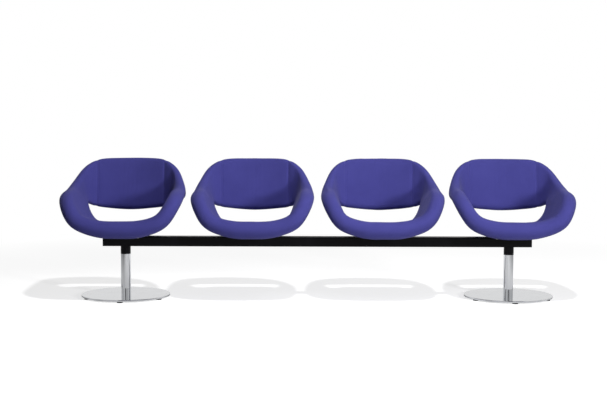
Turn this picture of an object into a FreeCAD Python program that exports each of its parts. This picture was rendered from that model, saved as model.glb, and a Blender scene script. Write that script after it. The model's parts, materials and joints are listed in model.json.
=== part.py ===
import FreeCAD, Part
import math
import os
import re

import Sketcher
from FreeCAD import Vector

# A four-seat bench: upholstered tub armchairs in a row on one steel beam, which stands on two columns
# with round bases. Millimetres. X runs along the beam, the sitter faces -Y, +Z is up, and the floor is
# z = 0 under the middle of the beam. Left is -X and right is +X.

CHAIRS = 4
GLIDES = 6
FIRST_GLIDE_ANGLE = 30

SIZES = {
    # Row of chairs and beam
    "chair_pitch": 705,
    "beam_overhang": 121.5,
    "beam_underside": 282,
    "beam_height": 53,
    "beam_depth": 70,
    "beam_wall": 3,
    "beam_corner": 5,
    "cap_flange": 4,
    "cap_insert": 20,
    "cap_wall": 3,
    "cap_edge": 2,
    "cap_clearance": 0.2,
    # Columns, collars and bases
    "column_diameter": 55,
    "column_wall": 2.5,
    "collar_height": 44,
    "spigot_length": 45,
    "spigot_clearance": 0.05,
    "plug_height": 14,
    "disc_diameter": 485,
    "disc_thickness": 9,
    "disc_edge": 2.5,
    # Levelling glides
    "glide_diameter": 32,
    "glide_height": 7,
    "glide_edge": 1.5,
    "glide_inset": 18.5,
    "stud_diameter": 8,
    "stud_length": 6.5,
    "stud_clearance": 0.05,
    "stud_end_gap": 0.5,
    # Fasteners
    "thread_clearance": 0.05,
    "hole_clearance": 0.4,
    "access_hole": 24,
    "collar_bolt": 12,
    "collar_bolt_flats": 19,
    "collar_bolt_head": 7.5,
    "collar_bolt_grip": 20,
    "tie_rod": 12,
    "tie_rod_head": 22,
    "tie_rod_recess": 0.5,
    "tie_rod_grip": 22,
    "thread_run_out": 5,
    "beam_bolt": 10,
    "beam_bolt_flats": 16,
    "beam_bolt_head": 6.4,
    "beam_bolt_spacing": 120,
    "bolt_end_gap": 0.5,
    "seat_screw": 8,
    "seat_screw_flats": 13,
    "seat_screw_head": 5.3,
    "seat_screw_grip": 6,
    "seat_screw_inset_x": 20,
    "seat_screw_inset_y": 18,
    # Brackets and inner frames
    "bracket_width": 190,
    "bracket_depth": 160,
    "bracket_thickness": 5,
    "pan_thickness": 4,
    "pan_clearance": 0.3,
    "boss_diameter": 16,
    "boss_height": 9,
    "rod_diameter": 12,
    "rod_start": 30,
    "rod_rise": 75,
    "weld_sink": 0.5,
    # Upholstered shell, with its heights above the pan
    "chair_width": 674,
    "front_reach": 310,
    "back_reach": 311,
    "seat_front_rise": 97,
    "arm_rise": 266,
    "back_rise": 413,
    "front_roll": 46,
    "arm_roll": 40,
    "back_roll": 18,
    "gap_edge_seat": 24,
    "gap_edge_arm": 22,
    "gap_edge_back": 24,
    "gap_half_width": 242,
    "gap_front": 153,
    "gap_low_rise": 29,
    "gap_high_rise": 142,
    "back_foot": 230,
    "seat_half_width": 150,
    "seam_offset": 197,
}

# Places that several pieces share, as expressions on the sizes
COLUMN_X = f"({(CHAIRS - 1) / 2} * chair_pitch)"
TUBE_HALF = f"({COLUMN_X} + beam_overhang - cap_flange)"
BEAM_MIDDLE = "(beam_underside + beam_height / 2)"
BEAM_TOP = "(beam_underside + beam_height)"
TOP_WALL = "(beam_underside + beam_height - beam_wall)"
BOTTOM_WALL = "(beam_underside + beam_wall)"
BRACKET_TOP = "(beam_underside + beam_height + bracket_thickness)"
PAN_TOP = "(beam_underside + beam_height + bracket_thickness + pan_thickness)"
DISC_TOP = "(glide_height + disc_thickness)"
GLIDE_RADIUS = "(disc_diameter / 2 - glide_inset)"
COLLAR_FOOT = "(beam_underside - collar_height)"
SPIGOT_FOOT = "(beam_underside - collar_height - spigot_length)"
SIDES = {"left": -1, "right": 1}

doc = FreeCAD.newDocument("beam_bench")
sheet = doc.addObject("Spreadsheet::Sheet", "Sizes")
for row, (alias, number) in enumerate(SIZES.items(), 1):
    sheet.set(f"A{row}", alias)
    sheet.set(f"B{row}", str(number))
    sheet.setAlias(f"B{row}", alias)
doc.recompute()

nodes = []


def bound(text):
    """The expression with each size's name turned into its cell."""
    return re.sub(r"[a-z_]+", lambda m: "Sizes." + m[0] if m[0] in SIZES else m[0], text)


def value(text):
    """What an expression on the sizes comes to now."""
    return float(sheet.evalExpression(bound(text)))


def chair_x(number):
    """Where a chair stands along the beam, counted from 1 at the left."""
    return f"({number - (CHAIRS + 1) / 2} * chair_pitch)"


# Sketches and features

def new_body(label, x="0", y="0", several_solids=False):
    body = doc.addObject("PartDesign::Body", label)
    body.Label = label
    body.AllowCompound = several_solids
    body.setExpression("Placement.Base.x", bound(x))
    body.setExpression("Placement.Base.y", bound(y))
    nodes.append(body)
    return body


def sketch_on(body, name, role, height="0"):
    sketch = body.newObject("Sketcher::SketchObject", f"{body.Label}_{name}")
    plane = next(f for f in body.Origin.OriginFeatures if f.Role == role)
    sketch.AttachmentSupport = (plane, [""])
    sketch.MapMode = "FlatFace"
    sketch.setExpression("AttachmentOffset.Base.z", bound(height))
    return sketch


def fix_point(sketch, geometry, point, across, up):
    """Binds a point of a sketch to two expressions, its places across and up."""
    for kind, axis, text in (("DistanceX", -2, across), ("DistanceY", -1, up)):
        if text == "0":
            sketch.addConstraint(Sketcher.Constraint("PointOnObject", geometry, point, axis))
        else:
            rule = Sketcher.Constraint(kind, -1, 1, geometry, point, value(text))
            sketch.setExpression(f"Constraints[{sketch.addConstraint(rule)}]", bound(text))


def add_outline(sketch, corners):
    """A closed outline of straight sides through corners given as pairs of expressions."""
    places = [Vector(value(across), value(up), 0) for across, up in corners]
    first = sketch.GeometryCount
    for here, there in zip(places, places[1:] + places[:1]):
        sketch.addGeometry(Part.LineSegment(here, there), False)
    for i, (across, up) in enumerate(corners):
        after = first + (i + 1) % len(corners)
        sketch.addConstraint(Sketcher.Constraint("Coincident", first + i, 2, after, 1))
        fix_point(sketch, first + i, 1, across, up)


def add_circle(sketch, across, up, diameter):
    centre = Vector(value(across), value(up), 0)
    radius = value(f"({diameter}) / 2")
    circle = sketch.addGeometry(Part.Circle(centre, Vector(0, 0, 1), radius), False)
    rule = sketch.addConstraint(Sketcher.Constraint("Radius", circle, radius))
    sketch.setExpression(f"Constraints[{rule}]", bound(f"({diameter}) / 2"))
    fix_point(sketch, circle, 3, across, up)


def rectangle(width, low, high):
    """Corners of an upright rectangle that is centred across."""
    left, right = f"-({width}) / 2", f"({width}) / 2"
    return [(left, low), (right, low), (right, high), (left, high)]


def hexagon(across, up, flats):
    """Corners of a hexagon of a given width across its flats, round a centre."""
    far, near = f"({flats}) / sqrt(3)", f"({flats}) / (2 * sqrt(3))"
    half = f"({flats}) / 2"
    steps = [(f"-{half}", f"-{near}"), ("0", f"-{far}"), (half, f"-{near}")]
    steps += [(half, near), ("0", far), (f"-{half}", near)]
    return [(f"({across}) + ({dx})", f"({up}) + ({dy})") for dx, dy in steps]


def pad(body, sketch, length):
    feature = body.newObject("PartDesign::Pad", f"{sketch.Name}_pad")
    feature.Profile = sketch
    feature.setExpression("Length", bound(length))
    doc.recompute()
    return feature


def pocket(body, sketch, length, along_normal):
    """Cuts a sketch into the body and makes sure that the cut took something away."""
    before = body.Shape.Volume
    feature = body.newObject("PartDesign::Pocket", f"{sketch.Name}_pocket")
    feature.Profile = sketch
    feature.Reversed = along_normal
    feature.setExpression("Length", bound(length))
    doc.recompute()
    if body.Shape.Volume >= before:
        raise ValueError(f"{feature.Name} cuts nothing")
    return feature


def turn(body, name, corners, kind="PartDesign::Revolution"):
    """Turns a half profile, given as radius and height, about the body's own upright axis."""
    sketch = sketch_on(body, name, "XZ_Plane")
    add_outline(sketch, corners)
    feature = body.newObject(kind, f"{sketch.Name}_turn")
    feature.Profile = sketch
    feature.ReferenceAxis = (sketch, ["V_Axis"])
    feature.Angle = 360
    doc.recompute()
    return feature


def bore(body, name, diameter, low, high):
    """Turns a plain round hole on the body's upright axis."""
    radius = f"({diameter}) / 2"
    corners = [("0", low), (radius, low), (radius, high), ("0", high)]
    return turn(body, name, corners, "PartDesign::Groove")


def round_edges(body, base, radius, wanted):
    """Fillets those edges of a feature that the test wants."""
    names = [f"Edge{i}" for i, edge in enumerate(base.Shape.Edges, 1) if wanted(edge)]
    feature = body.newObject("PartDesign::Fillet", f"{base.Name}_fillet")
    feature.Base = (base, names)
    feature.setExpression("Radius", bound(radius))
    doc.recompute()
    return feature


def runs_along_x(edge):
    box = edge.BoundBox
    return box.YLength < 1e-6 and box.ZLength < 1e-6


def lies_at(edge, axis, place):
    box = edge.BoundBox
    low, high = getattr(box, axis + "Min"), getattr(box, axis + "Max")
    return abs(low - place) < 1e-6 and abs(high - place) < 1e-6


# Beam and end caps

def make_beam():
    body = new_body("beam")
    length = f"2 * {TUBE_HALF}"
    section = sketch_on(body, "section", "YZ_Plane", f"-{TUBE_HALF}")
    add_outline(section, rectangle("beam_depth", "beam_underside", BEAM_TOP))
    round_edges(body, pad(body, section, length), "beam_corner", runs_along_x)
    inside = sketch_on(body, "inside", "YZ_Plane", f"-{TUBE_HALF}")
    add_outline(inside, rectangle("beam_depth - 2 * beam_wall", BOTTOM_WALL, TOP_WALL))
    pocket(body, inside, length, True)
    upper = sketch_on(body, "upper_holes", "XY_Plane", BEAM_MIDDLE)
    lower = sketch_on(body, "lower_holes", "XY_Plane", BEAM_MIDDLE)
    for number in range(1, CHAIRS + 1):
        for side in SIDES.values():
            bolt_x = f"{chair_x(number)} + {side} * beam_bolt_spacing / 2"
            add_circle(upper, bolt_x, "0", "beam_bolt + 2 * hole_clearance")
            add_circle(lower, bolt_x, "0", "access_hole")
    for side in SIDES.values():
        add_circle(upper, f"{side} * {COLUMN_X}", "0", "access_hole")
        add_circle(lower, f"{side} * {COLUMN_X}", "0", "collar_bolt + 2 * hole_clearance")
    pocket(body, upper, "beam_height", True)
    pocket(body, lower, "beam_height", False)


def make_end_cap(side, sign):
    body = new_body(f"beam_cap_{side}", f"{sign} * {TUBE_HALF}")
    body.Placement.Rotation = FreeCAD.Rotation(Vector(0, 0, 1), 0 if sign > 0 else 180)
    flange = sketch_on(body, "flange", "YZ_Plane")
    add_outline(flange, rectangle("beam_depth", "beam_underside", BEAM_TOP))
    plate = pad(body, flange, "cap_flange")
    corners = round_edges(body, plate, "beam_corner", runs_along_x)
    outer_face = value("cap_flange")
    round_edges(body, corners, "cap_edge", lambda edge: lies_at(edge, "X", outer_face))
    insert = sketch_on(body, "insert", "YZ_Plane", "-cap_insert")
    gap = "cap_clearance"
    width = f"beam_depth - 2 * beam_wall - 2 * {gap}"
    add_outline(insert, rectangle(width, f"{BOTTOM_WALL} + {gap}", f"{TOP_WALL} - {gap}"))
    pad(body, insert, "cap_insert")
    hollow = sketch_on(body, "hollow", "YZ_Plane", "-cap_insert")
    low, high = f"{BOTTOM_WALL} + {gap} + cap_wall", f"{TOP_WALL} - {gap} - cap_wall"
    add_outline(hollow, rectangle(f"{width} - 2 * cap_wall", low, high))
    pocket(body, hollow, "cap_insert", True)


# Columns and bases

def make_collar(side, sign):
    body = new_body(f"beam_collar_{side}", f"{sign} * {COLUMN_X}")
    outer = "column_diameter / 2"
    spigot = f"{outer} - column_wall - spigot_clearance"
    corners = [("0", SPIGOT_FOOT), (spigot, SPIGOT_FOOT), (spigot, COLLAR_FOOT)]
    corners += [(outer, COLLAR_FOOT), (outer, "beam_underside"), ("0", "beam_underside")]
    turn(body, "profile", corners)
    bolt_end = "beam_underside - collar_bolt_grip - thread_run_out"
    bore(body, "bolt_hole", "collar_bolt + 2 * thread_clearance", bolt_end, "beam_underside")
    rod_end = f"{SPIGOT_FOOT} + tie_rod_grip + thread_run_out"
    bore(body, "rod_hole", "tie_rod + 2 * thread_clearance", SPIGOT_FOOT, rod_end)


def make_collar_bolt(side, sign):
    body = new_body(f"collar_bolt_{side}", f"{sign} * {COLUMN_X}")
    head = sketch_on(body, "head", "XY_Plane", BOTTOM_WALL)
    add_outline(head, hexagon("0", "0", "collar_bolt_flats"))
    pad(body, head, "collar_bolt_head")
    shank = sketch_on(body, "shank", "XY_Plane", "beam_underside - collar_bolt_grip")
    add_circle(shank, "0", "0", "collar_bolt")
    pad(body, shank, "collar_bolt_grip + beam_wall")


def make_column(side, sign):
    body = new_body(f"column_{side}", f"{sign} * {COLUMN_X}")
    ring = sketch_on(body, "ring", "XY_Plane", DISC_TOP)
    add_circle(ring, "0", "0", "column_diameter")
    add_circle(ring, "0", "0", "column_diameter - 2 * column_wall")
    pad(body, ring, f"{COLLAR_FOOT} - {DISC_TOP}")


def make_centring_plug(side, sign):
    body = new_body(f"centring_plug_{side}", f"{sign} * {COLUMN_X}")
    ring = sketch_on(body, "ring", "XY_Plane", DISC_TOP)
    add_circle(ring, "0", "0", "column_diameter - 2 * column_wall - 2 * spigot_clearance")
    add_circle(ring, "0", "0", "tie_rod + 2 * hole_clearance")
    pad(body, ring, "plug_height")


def cone_profile(clearance, low, high):
    """Half profile of the tie rod and its countersunk head, or of the hole for them."""
    head_low = "glide_height + tie_rod_recess"
    cone = "(tie_rod_head - tie_rod) / 2"
    head, shank = f"tie_rod_head / 2 + {clearance}", f"tie_rod / 2 + {clearance}"
    corners = [("0", low), (head, low), (head, head_low)]
    return corners + [(shank, f"{head_low} + {cone}"), (shank, high), ("0", high)]


def make_tie_rod(side, sign):
    body = new_body(f"tie_rod_{side}", f"{sign} * {COLUMN_X}")
    head_low = "glide_height + tie_rod_recess"
    profile = cone_profile("0", head_low, f"{SPIGOT_FOOT} + tie_rod_grip")
    turn(body, "profile", [profile[0]] + profile[2:])


def make_base_disc(side, sign):
    body = new_body(f"base_disc_{side}", f"{sign} * {COLUMN_X}")
    rim = "disc_diameter / 2"
    corners = [("0", "glide_height"), (rim, "glide_height"), (rim, DISC_TOP), ("0", DISC_TOP)]
    plate = turn(body, "profile", corners)
    top = value(DISC_TOP)
    round_edges(body, plate, "disc_edge", lambda edge: lies_at(edge, "Z", top))
    turn(body, "rod_hole", cone_profile("hole_clearance", "glide_height", DISC_TOP), "PartDesign::Groove")
    stud = sketch_on(body, "stud_hole", "XY_Plane", "glide_height")
    reach = f"{GLIDE_RADIUS} * cos({FIRST_GLIDE_ANGLE} deg)"
    rise = f"{GLIDE_RADIUS} * sin({FIRST_GLIDE_ANGLE} deg)"
    add_circle(stud, reach, rise, "stud_diameter + 2 * stud_clearance")
    hole = pocket(body, stud, "stud_length + stud_end_gap", True)
    pattern = body.newObject("PartDesign::PolarPattern", f"{body.Label}_stud_holes")
    pattern.Originals = [hole]
    pattern.Axis = (stud, ["N_Axis"])
    pattern.Angle = 360
    pattern.Occurrences = GLIDES
    body.Tip = pattern


def make_glide(side, sign, number):
    angle = FIRST_GLIDE_ANGLE + 360 / GLIDES * (number - 1)
    x = f"{sign} * {COLUMN_X} + {GLIDE_RADIUS} * cos({angle} deg)"
    y = f"{GLIDE_RADIUS} * sin({angle} deg)"
    body = new_body(f"glide_{side}_{number}", x, y)
    foot, stud, stud_top = "glide_diameter / 2", "stud_diameter / 2", "glide_height + stud_length"
    corners = [("0", "0"), (f"{foot} - glide_edge", "0"), (foot, "glide_edge"), (foot, "glide_height")]
    corners += [(stud, "glide_height"), (stud, stud_top), ("0", stud_top)]
    turn(body, "profile", corners)


# Seat brackets and their fasteners

def screw_places():
    """Where the four seat screws stand, from the middle of a chair."""
    signs = [(-1, -1), (1, -1), (1, 1), (-1, 1)]
    x, y = "(bracket_width / 2 - seat_screw_inset_x)", "(bracket_depth / 2 - seat_screw_inset_y)"
    return [(f"{a} * {x}", f"{b} * {y}") for a, b in signs]


def bolt_places():
    return [(f"{sign} * beam_bolt_spacing / 2", "0") for sign in SIDES.values()]


def make_bracket(number):
    body = new_body(f"seat_bracket_{number}", chair_x(number))
    plate = sketch_on(body, "plate", "XY_Plane", BEAM_TOP)
    add_outline(plate, rectangle("bracket_width", "-bracket_depth / 2", "bracket_depth / 2"))
    pad(body, plate, "bracket_thickness")
    holes = sketch_on(body, "holes", "XY_Plane", BEAM_TOP)
    for across, up in screw_places():
        add_circle(holes, across, up, "seat_screw + 2 * hole_clearance")
    for across, up in bolt_places():
        add_circle(holes, across, up, "beam_bolt + 2 * thread_clearance")
    pocket(body, holes, "bracket_thickness", True)


def make_fasteners(label, number, places, size, head_low, shank_top):
    """A group of hexagon-headed fasteners that point up."""
    body = new_body(f"{label}_{number}", chair_x(number), several_solids=True)
    heads = sketch_on(body, "heads", "XY_Plane", head_low)
    shanks = sketch_on(body, "shanks", "XY_Plane", f"{head_low} + {size}_head")
    for across, up in places:
        add_outline(heads, hexagon(across, up, f"{size}_flats"))
        add_circle(shanks, across, up, size)
    pad(body, heads, f"{size}_head")
    pad(body, shanks, f"{shank_top} - ({head_low} + {size}_head)")


# Upholstered shell: a ring of rounded sections between its outer rim and the lumbar gap

class Section:
    """One flat slice through the shell, from the middle of its rim roll to the middle of its gap edge.

    facing points to the sitter; crown swells the face towards the sitter and belly swells the far face.
    """

    def __init__(self, rim, tip, facing, rim_radius, tip_radius, crown, belly):
        self.rim, self.tip = Vector(*rim), Vector(*tip)
        self.rim_radius, self.tip_radius = rim_radius, tip_radius
        self.crown, self.belly = crown, belly
        self.along = (self.rim - self.tip).normalize()
        facing = Vector(*facing)
        self.facing = (facing - self.along * facing.dot(self.along)).normalize()
        self.length = (self.rim - self.tip).Length

    def at(self, reach, rise):
        return self.tip + self.along * reach + self.facing * rise

    def wire(self):
        end, big, small = self.length, self.rim_radius, self.tip_radius
        mean = (big + small) / 2
        slant = math.sqrt(0.5)
        stops = [(0, small), (end, big), (end + big, 0), (end, -big), (0, -small), (-small, 0)]
        middles = [
            (end / 2, mean + self.crown),
            (end + big * slant, big * slant),
            (end + big * slant, -big * slant),
            (end / 2, -mean - self.belly),
            (-small * slant, -small * slant),
            (-small * slant, small * slant),
        ]
        arcs = []
        for start, middle, stop in zip(stops, middles, stops[1:] + stops[:1]):
            arcs.append(Part.Arc(self.at(*start), self.at(*middle), self.at(*stop)).toShape())
        return Part.Wire(arcs)

    def core(self, share):
        """A point inside the padding, a share of the way from gap edge to rim."""
        reach = share * self.length
        swell = 4 * share * (1 - share)
        return self.at(reach, swell * (self.crown - self.belly) / 2)

    def mirrored(self):
        def flip(v):
            return Vector(-v.x, v.y, v.z)

        sizes = (self.rim_radius, self.tip_radius, self.crown, self.belly)
        return Section(flip(self.rim), flip(self.tip), flip(self.facing), *sizes)


def shell_sections():
    """The sections of the right half of the shell by name, from the seat's front round to the back."""
    front_roll, arm_roll, back_roll = value("front_roll"), value("arm_roll"), value("back_roll")
    seat_edge, arm_edge, back_edge = value("gap_edge_seat"), value("gap_edge_arm"), value("gap_edge_back")
    front_y = front_roll - value("front_reach")
    front_z = value(f"{PAN_TOP} + seat_front_rise") - front_roll
    arm_x = value("chair_width") / 2 - arm_roll
    arm_z = value(f"{PAN_TOP} + arm_rise") - arm_roll
    back_y = value("back_reach") - back_roll
    back_z = value(f"{PAN_TOP} + back_rise") - back_roll
    half, seam = value("seat_half_width"), value("seam_offset")
    gap_x, gap_y = value("gap_half_width"), value("gap_front")
    low, high = value(f"{PAN_TOP} + gap_low_rise"), value(f"{PAN_TOP} + gap_high_rise")
    foot = value("back_foot")
    rows = {
        "front": ((0, front_y, front_z), (0, gap_y, low), (0, 0, 1), front_roll, seat_edge, -18, 8),
        "front_side": ((half / 2, front_y + 1, front_z + 1), (half / 2, gap_y - 1, low + 1), (-0.05, 0, 1),
                       front_roll, seat_edge, -17, 8),
        "seat_side": ((half + 2, front_y + 4, front_z + 15), (half - 7, gap_y - 7, low + 8), (-0.31, 0, 0.95),
                      front_roll - 2.5, seat_edge, -12, 4),
        "corner": ((arm_x - 69, front_y + 13, front_z + 49), (gap_x - 55, gap_y - 36, low + 24),
                   (-0.63, 0, 0.78), front_roll - 3.5, arm_edge, -4, 1),
        "knee": ((arm_x - 32, front_y + 35, arm_z - 77), (gap_x - 32, gap_y - 53, low + 51),
                 (-0.82, 0, 0.57), arm_roll, arm_edge, 2, 1),
        "arm_front": ((arm_x - 9, front_y + 85, arm_z - 30), (gap_x - 16, gap_y - 65, low + 82),
                      (-0.9, -0.1, 0.42), arm_roll, arm_edge + 1, 3, 1),
        "arm_middle": ((arm_x, front_y + 186, arm_z), (gap_x - 4, gap_y - 61, high + 2),
                       (-0.89, -0.15, 0.42), arm_roll, arm_edge + 1, 2, 1),
        "arm_rear": ((arm_x - 2, back_y - 249, arm_z + 9), (gap_x + 4, gap_y - 41, high + 28),
                     (-0.86, -0.22, 0.46), arm_roll - 4, arm_edge, 1, 3),
        "wing": ((arm_x - 15, back_y - 159, arm_z + 54), (gap_x + 7, foot - 85, high + 37),
                 (-0.88, -0.38, 0.28), back_roll + 9, arm_edge - 1, 1, 4),
        "top_corner": ((arm_x - 43, back_y - 92, back_z - 53), (gap_x - 11, foot - 46, high + 31),
                       (-0.73, -0.66, 0.17), back_roll + 3, arm_edge - 1, 2, 5),
        "back_side": ((seam, back_y - 45, back_z - 12), (seam, foot - 24, high + 18),
                      (-0.38, -0.91, 0.17), back_roll + 1, back_edge - 2, 3, 6),
        "back_half": ((seam / 2, back_y - 12, back_z), (seam / 2, foot - 6, high + 5),
                      (-0.17, -0.96, 0.22), back_roll, back_edge - 1, 4, 7),
        "back": ((0, back_y, back_z), (0, foot, high), (0, -1, 0.24), back_roll, back_edge, 4, 8),
    }
    return {name: Section(*row) for name, row in rows.items()}


SHELL = shell_sections()
ARM_SECTIONS = ["seat_side", "corner", "knee", "arm_front", "arm_middle", "arm_rear"]
ARM_SECTIONS += ["wing", "top_corner", "back_side"]
FRAME_POINTS = {"corner": 0.4, "knee": 0.45, "arm_middle": 0.55, "arm_rear": 0.55, "wing": 0.5}
FRAME_POINTS.update({"top_corner": 0.45, "back_side": 0.45, "back_half": 0.45, "back": 0.45})


def mirrored(shape):
    return shape.mirror(Vector(0, 0, 0), Vector(1, 0, 0))


def loft(sections):
    return Part.makeLoft([section.wire() for section in sections], True, False)


def across_middle(names):
    """Sections from the right side over the middle, which is the last name, to the left side."""
    right = [SHELL[name] for name in names]
    return right + [section.mirrored() for section in reversed(right[:-1])]


def pan_block(clearance):
    """Room that the pan and its four threaded bosses take up under a seat, with a clearance all round."""
    width, depth = value("bracket_width") + 2 * clearance, value("bracket_depth") + 2 * clearance
    top = value(PAN_TOP)
    return width, depth, top


def boss_shapes(radius, low, high):
    places = [Vector(value(x), value(y), low) for x, y in screw_places()]
    return [Part.makeCylinder(radius, high - low, place) for place in places]


def seat_shape():
    """The seat pad, recessed underneath for the bracket, the pan and its bosses."""
    gap = value("pan_clearance")
    width, depth, top = pan_block(gap)
    floor = value("beam_underside")
    recess = Part.makeBox(width, depth, top - floor, Vector(-width / 2, -depth / 2, floor))
    boss_top = top + value("boss_height") + gap
    wells = boss_shapes(value("boss_diameter") / 2 + gap, floor, boss_top)
    return loft(across_middle(["seat_side", "front_side", "front"])).cut([recess] + wells)


def arm_shape():
    """The right arm, from the seat's side round to the back's seam."""
    return loft([SHELL[name] for name in ARM_SECTIONS])


def back_shape():
    return loft(across_middle(["back_side", "back_half", "back"]))


# Inner frames: a bent rod inside the padding, welded to a pan with threaded bosses

def rounded_path(points):
    """A wire of straight runs through the points, joined by tangent arcs as large as the runs allow."""
    edges, start = [], points[0]
    for before, corner, after in zip(points, points[1:], points[2:]):
        inwards, outwards = (corner - before).normalize(), (after - corner).normalize()
        turn_angle = inwards.getAngle(outwards)
        reach = 0.45 * min((corner - before).Length, (after - corner).Length)
        entry, leave = corner - inwards * reach, corner + outwards * reach
        sagitta = reach * math.cos(turn_angle / 2) * math.tan(turn_angle / 4)
        crown = (entry + leave) * 0.5 + (outwards - inwards).normalize() * (-sagitta)
        edges.append(Part.LineSegment(start, entry).toShape())
        edges.append(Part.Arc(entry, crown, leave).toShape())
        start = leave
    edges.append(Part.LineSegment(start, points[-1]).toShape())
    return Part.Wire(edges)


def frame_shape():
    radius = value("rod_diameter") / 2
    pan_top = value(PAN_TOP)
    seat_z = pan_top + radius - value("weld_sink")
    half = [Vector(value("rod_start"), 0, seat_z), Vector(value("rod_rise"), 0, seat_z)]
    half += [SHELL[name].core(share) for name, share in FRAME_POINTS.items()]
    path = rounded_path(half + [Vector(-p.x, p.y, p.z) for p in reversed(half[:-1])])
    ring = Part.Wire(Part.makeCircle(radius, half[0], half[1] - half[0]))
    rod = path.makePipeShell([ring], True, False)
    expected = math.pi * radius ** 2 * path.Length
    if abs(rod.Volume - expected) > 0.01 * expected:
        raise ValueError("the frame rod's volume doesn't match its length")
    width, depth, _ = pan_block(0)
    thickness = value("pan_thickness")
    low = pan_top - thickness
    pan = Part.makeBox(width, depth, thickness, Vector(-width / 2, -depth / 2, low))
    bosses = boss_shapes(value("boss_diameter") / 2, pan_top, pan_top + value("boss_height"))
    hole = value("seat_screw") / 2 + value("thread_clearance")
    holes = boss_shapes(hole, low, pan_top + value("boss_height"))
    return pan.fuse([rod] + bosses).cut(holes).removeSplitter()


def add_shape(label, shape, number):
    """Places a ready shape, made about the middle of a chair, at one chair of the row."""
    piece = doc.addObject("Part::Feature", label)
    piece.Label = label
    piece.Shape = shape.Solids[0]
    piece.Placement.Base = Vector(value(chair_x(number)), 0, 0)
    nodes.append(piece)


def make_chairs():
    seat, arm, back, frame = seat_shape(), arm_shape(), back_shape(), frame_shape()
    for number in range(1, CHAIRS + 1):
        add_shape(f"seat_{number}", seat, number)
        add_shape(f"arm_left_{number}", mirrored(arm), number)
        add_shape(f"arm_right_{number}", arm, number)
        add_shape(f"back_{number}", back, number)
        add_shape(f"chair_frame_{number}", frame, number)
        make_bracket(number)
        head_low = f"{BEAM_TOP} - seat_screw_head"
        screw_top = f"{PAN_TOP} + seat_screw_grip"
        make_fasteners("seat_screws", number, screw_places(), "seat_screw", head_low, screw_top)
        bolt_low = f"{TOP_WALL} - beam_bolt_head"
        bolt_top = f"{BRACKET_TOP} - bolt_end_gap"
        make_fasteners("beam_bolts", number, bolt_places(), "beam_bolt", bolt_low, bolt_top)


def make_stand():
    make_beam()
    for side, sign in SIDES.items():
        make_end_cap(side, sign)
        make_collar(side, sign)
        make_collar_bolt(side, sign)
        make_column(side, sign)
        make_centring_plug(side, sign)
        make_tie_rod(side, sign)
        make_base_disc(side, sign)
        for number in range(1, GLIDES + 1):
            make_glide(side, sign, number)


def write_parts():
    """Checks every object of the document, then writes one file per piece."""
    doc.recompute()
    failed = [item.Name for item in doc.Objects if {"Invalid", "Error"} & set(item.State)]
    failed += [node.Label for node in nodes if node.Shape.isNull() or not node.Shape.isValid()]
    if failed:
        raise ValueError(f"these objects failed: {failed}")
    os.makedirs("parts", exist_ok=True)
    for node in nodes:
        node.Shape.exportStep(f"parts/{node.Label}.step")
        box = node.Shape.BoundBox
        print(f"{node.Label}: {len(node.Shape.Solids)} solids, {node.Shape.Volume / 1000:.1f} cm3,"
              f" z {box.ZMin:.1f} to {box.ZMax:.1f}")


make_stand()
make_chairs()
write_parts()
print(len(nodes), "pieces")
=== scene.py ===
# %% [markdown]
# # A four-seat beam bench
# Four upholstered tub chairs stand in a row on one black steel beam. Two chrome columns on round chrome
# discs carry the beam, and small black glides under the discs level it. The metal pieces come from the CAD
# model as they are and only get a finish here. The chairs' padding in that model is plain foam, so this
# script makes the fabric covers that show: panels pulled over foam, seams, thread and weave. Everything is
# in metres, in the CAD model's own frame: X along the beam, the sitter faces -Y, Z up, the floor at z = 0.

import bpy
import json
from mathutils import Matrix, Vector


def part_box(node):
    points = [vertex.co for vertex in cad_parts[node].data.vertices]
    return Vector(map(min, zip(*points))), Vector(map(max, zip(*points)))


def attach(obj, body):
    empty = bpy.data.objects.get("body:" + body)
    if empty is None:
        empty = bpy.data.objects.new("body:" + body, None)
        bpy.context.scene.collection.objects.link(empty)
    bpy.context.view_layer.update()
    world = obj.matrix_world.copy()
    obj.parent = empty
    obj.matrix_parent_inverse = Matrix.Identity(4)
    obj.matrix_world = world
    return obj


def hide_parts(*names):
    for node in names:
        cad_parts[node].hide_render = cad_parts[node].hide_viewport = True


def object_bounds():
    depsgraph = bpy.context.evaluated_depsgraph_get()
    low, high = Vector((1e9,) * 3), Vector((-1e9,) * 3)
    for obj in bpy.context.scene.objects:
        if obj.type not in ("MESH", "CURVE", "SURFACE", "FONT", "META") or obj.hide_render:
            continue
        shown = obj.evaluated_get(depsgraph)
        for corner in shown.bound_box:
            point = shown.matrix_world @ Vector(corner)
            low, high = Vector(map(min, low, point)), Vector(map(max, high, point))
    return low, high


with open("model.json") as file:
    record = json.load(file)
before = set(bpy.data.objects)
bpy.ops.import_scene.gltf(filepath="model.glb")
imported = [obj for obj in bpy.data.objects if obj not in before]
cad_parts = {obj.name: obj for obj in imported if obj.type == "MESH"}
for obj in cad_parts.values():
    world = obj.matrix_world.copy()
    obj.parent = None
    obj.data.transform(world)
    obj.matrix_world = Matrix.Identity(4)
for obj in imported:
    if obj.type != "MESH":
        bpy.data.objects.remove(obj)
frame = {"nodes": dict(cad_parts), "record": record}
cad_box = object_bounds()
print(len(frame["nodes"]), "CAD nodes, box", [[round(v, 3) for v in corner] for corner in cad_box])

# %% [markdown]
# ## The camera
# The photograph was taken from a little above seat height with a long lens, far enough away that the outer
# chairs show their sides only a little. The lens could be guessed by eye, but the two round discs give it:
# how wide and how flat they look fixes both the height and the distance of the camera. It was not quite
# level: the right end of the beam lies a little lower in the picture than the left.

# %% Camera
import math

import bpy

CAMERA_PLACE = (-0.078, -6.4, 1.011)
TILT_DOWN, ROLL = 4.48, -0.17
LENS, SENSOR_WIDTH = 69.15, 36

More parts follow.
